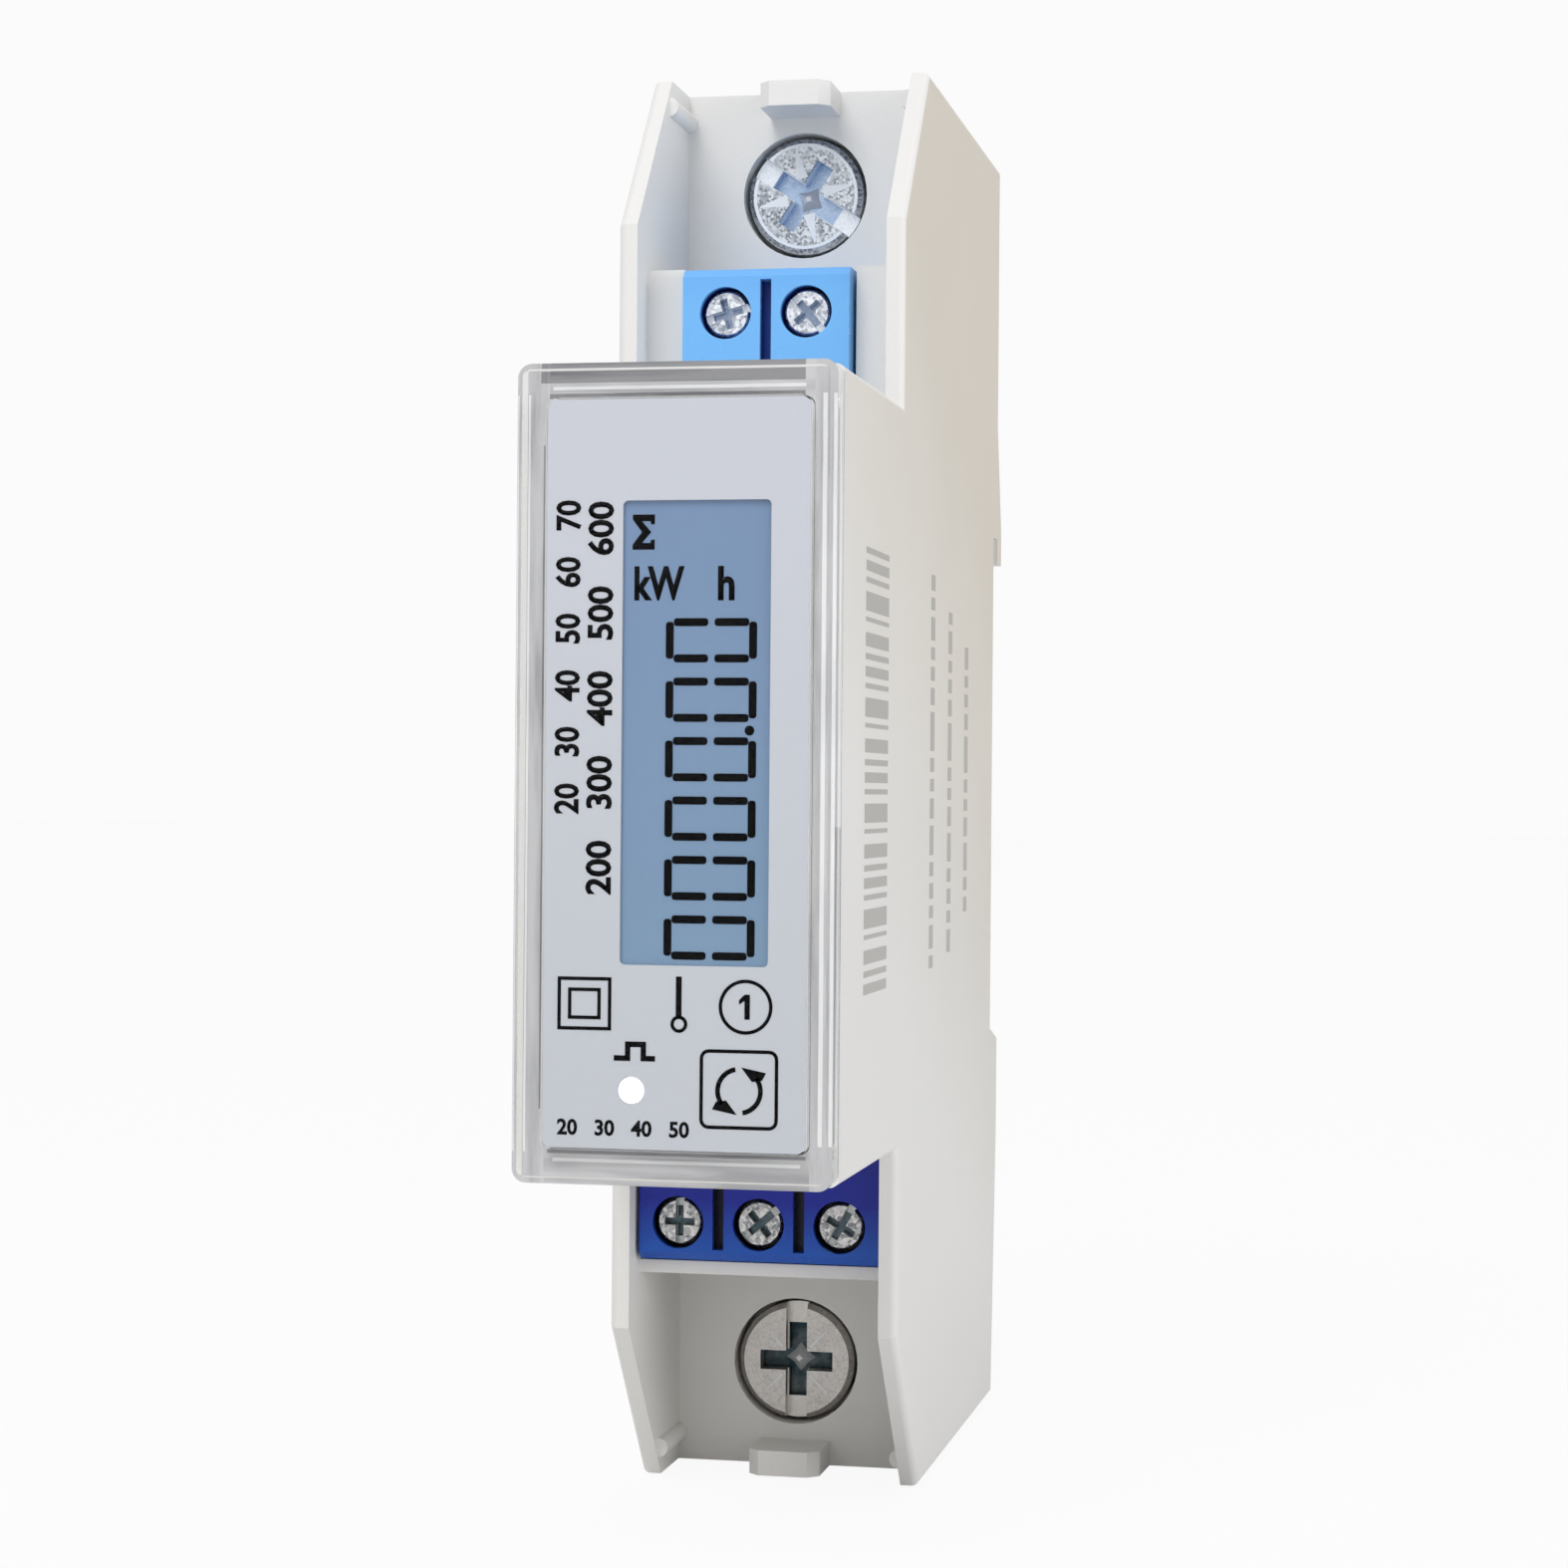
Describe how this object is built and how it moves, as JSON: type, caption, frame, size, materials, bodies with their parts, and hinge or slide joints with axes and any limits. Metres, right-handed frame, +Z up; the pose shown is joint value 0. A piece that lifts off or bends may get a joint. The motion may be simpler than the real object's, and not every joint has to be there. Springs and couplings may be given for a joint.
{
  "type": "din rail energy meter",
  "caption": "Slim rail-mounted energy meter with a clear-capped display nose, recessed clamp terminals at both ends and a sprung rail clip at the back.",
  "frame": {"origin": "middle of the housing face that seats on the rail", "axes": "+Y back towards the rail, +Z up, +X across the width to the right as seen from the front"},
  "size_m": [0.018, 0.0668, 0.0896],
  "materials": {
    "housing": "fine satin, off-white",
    "clear": "clear moulded plastic, glossy",
    "label": "printed film, pale blue grey",
    "carrier": "white, satin",
    "display": "display glass, blue lit",
    "light_guide": "milky acrylic",
    "board": "green board lacquer",
    "black_part": "black moulded",
    "yellow_part": "yellow box",
    "blue_disc": "blue dipped",
    "can": "drawn can",
    "copper": "bare copper strip",
    "shunt_alloy": "brown resistance alloy",
    "tinned": "tin plated",
    "zinc_screw": "bright zinc plated",
    "cage_steel": "zinc plated steel",
    "light_blue": "light blue moulded",
    "dark_blue": "dark blue moulded",
    "clip_plastic": "off-white, satin",
    "lamp": "light body",
    "foam": "conductive foam"
  },
  "bodies": {
    "housing": {"base_shell": "housing", "side_lid": "housing", "clear_cover": "clear", "face_label": "label", "face_carrier": "carrier", "display_glass": "display", "display_backlight": "light_guide", "display_board": "board", "pulse_led": "lamp", "light_pipe": "light_guide", "touch_pad": "foam", "main_board": "board", "board_link": "black_part", "metering_chip": "black_part", "controller_chip": "black_part", "film_capacitor": "yellow_part", "optocoupler": "black_part", "bulk_capacitor": "can", "varistor": "blue_disc", "fuse_resistor": "blue_disc", "crystal": "tinned", "upper_terminal_board": "board", "lower_terminal_board": "board", "upper_busbar": "copper", "current_shunt": "shunt_alloy", "lower_busbar": "copper", "upper_sense_lead": "tinned", "lower_sense_lead": "tinned", "upper_signal_block": "light_blue", "lower_signal_block": "dark_blue", "upper_signal_contact_1": "tinned", "upper_signal_contact_2": "tinned", "lower_signal_contact_1": "tinned", "lower_signal_contact_2": "tinned", "lower_signal_contact_3": "tinned"},
    "upper_main_screw": {"upper_main_screw": "zinc_screw"},
    "upper_main_cage": {"upper_main_cage": "cage_steel"},
    "lower_main_screw": {"lower_main_screw": "zinc_screw"},
    "lower_main_cage": {"lower_main_cage": "cage_steel"},
    "upper_signal_screw_1": {"upper_signal_screw_1": "zinc_screw"},
    "upper_signal_cage_1": {"upper_signal_cage_1": "cage_steel"},
    "upper_signal_screw_2": {"upper_signal_screw_2": "zinc_screw"},
    "upper_signal_cage_2": {"upper_signal_cage_2": "cage_steel"},
    "lower_signal_screw_1": {"lower_signal_screw_1": "zinc_screw"},
    "lower_signal_cage_1": {"lower_signal_cage_1": "cage_steel"},
    "lower_signal_screw_2": {"lower_signal_screw_2": "zinc_screw"},
    "lower_signal_cage_2": {"lower_signal_cage_2": "cage_steel"},
    "lower_signal_screw_3": {"lower_signal_screw_3": "zinc_screw"},
    "lower_signal_cage_3": {"lower_signal_cage_3": "cage_steel"},
    "din_clip": {"din_clip": "clip_plastic"}
  },
  "joints": [
    {"name": "upper_main_cage_slide", "type": "slide", "parent": "housing", "child": "upper_main_cage", "axis": [0, -1, 0], "range_m": [0, 0.007]},
    {"name": "upper_main_screw_turn", "type": "hinge", "parent": "housing", "child": "upper_main_screw", "pos_m": [0, -0.02, 0.0381], "axis": [0, 1, 0], "range_deg": [0, 3152]},
    {"name": "lower_main_cage_slide", "type": "slide", "parent": "housing", "child": "lower_main_cage", "axis": [0, -1, 0], "range_m": [0, 0.007]},
    {"name": "lower_main_screw_turn", "type": "hinge", "parent": "housing", "child": "lower_main_screw", "pos_m": [0, -0.02, -0.0381], "axis": [0, 1, 0], "range_deg": [0, 3152]},
    {"name": "upper_signal_cage_1_slide", "type": "slide", "parent": "housing", "child": "upper_signal_cage_1", "axis": [0, -1, 0], "range_m": [0, 0.0022]},
    {"name": "upper_signal_screw_1_turn", "type": "hinge", "parent": "housing", "child": "upper_signal_screw_1", "pos_m": [-0.00254, -0.02, 0.0287], "axis": [0, 1, 0], "range_deg": [0, 1762]},
    {"name": "upper_signal_cage_2_slide", "type": "slide", "parent": "housing", "child": "upper_signal_cage_2", "axis": [0, -1, 0], "range_m": [0, 0.0022]},
    {"name": "upper_signal_screw_2_turn", "type": "hinge", "parent": "housing", "child": "upper_signal_screw_2", "pos_m": [0.00254, -0.02, 0.0287], "axis": [0, 1, 0], "range_deg": [0, 1762]},
    {"name": "lower_signal_cage_1_slide", "type": "slide", "parent": "housing", "child": "lower_signal_cage_1", "axis": [0, -1, 0], "range_m": [0, 0.0022]},
    {"name": "lower_signal_screw_1_turn", "type": "hinge", "parent": "housing", "child": "lower_signal_screw_1", "pos_m": [-0.00508, -0.02, -0.02765], "axis": [0, 1, 0], "range_deg": [0, 1762]},
    {"name": "lower_signal_cage_2_slide", "type": "slide", "parent": "housing", "child": "lower_signal_cage_2", "axis": [0, -1, 0], "range_m": [0, 0.0022]},
    {"name": "lower_signal_screw_2_turn", "type": "hinge", "parent": "housing", "child": "lower_signal_screw_2", "pos_m": [0, -0.02, -0.02765], "axis": [0, 1, 0], "range_deg": [0, 1762]},
    {"name": "lower_signal_cage_3_slide", "type": "slide", "parent": "housing", "child": "lower_signal_cage_3", "axis": [0, -1, 0], "range_m": [0, 0.0022]},
    {"name": "lower_signal_screw_3_turn", "type": "hinge", "parent": "housing", "child": "lower_signal_screw_3", "pos_m": [0.00508, -0.02, -0.02765], "axis": [0, 1, 0], "range_deg": [0, 1762]},
    {"name": "din_clip_slide", "type": "slide", "parent": "housing", "child": "din_clip", "axis": [0, 0, -1], "range_m": [0, 0.0026], "stiffness_N_per_m": 3000, "springref_m": -0.0005}
  ],
  "couplings": [
    {"joint": "upper_main_screw_turn", "follows": "upper_main_cage_slide", "rad_per_m": 7854},
    {"joint": "lower_main_screw_turn", "follows": "lower_main_cage_slide", "rad_per_m": 7854},
    {"joint": "upper_signal_screw_1_turn", "follows": "upper_signal_cage_1_slide", "rad_per_m": 13963},
    {"joint": "upper_signal_screw_2_turn", "follows": "upper_signal_cage_2_slide", "rad_per_m": 13963},
    {"joint": "lower_signal_screw_1_turn", "follows": "lower_signal_cage_1_slide", "rad_per_m": 13963},
    {"joint": "lower_signal_screw_2_turn", "follows": "lower_signal_cage_2_slide", "rad_per_m": 13963},
    {"joint": "lower_signal_screw_3_turn", "follows": "lower_signal_cage_3_slide", "rad_per_m": 13963}
  ]
}
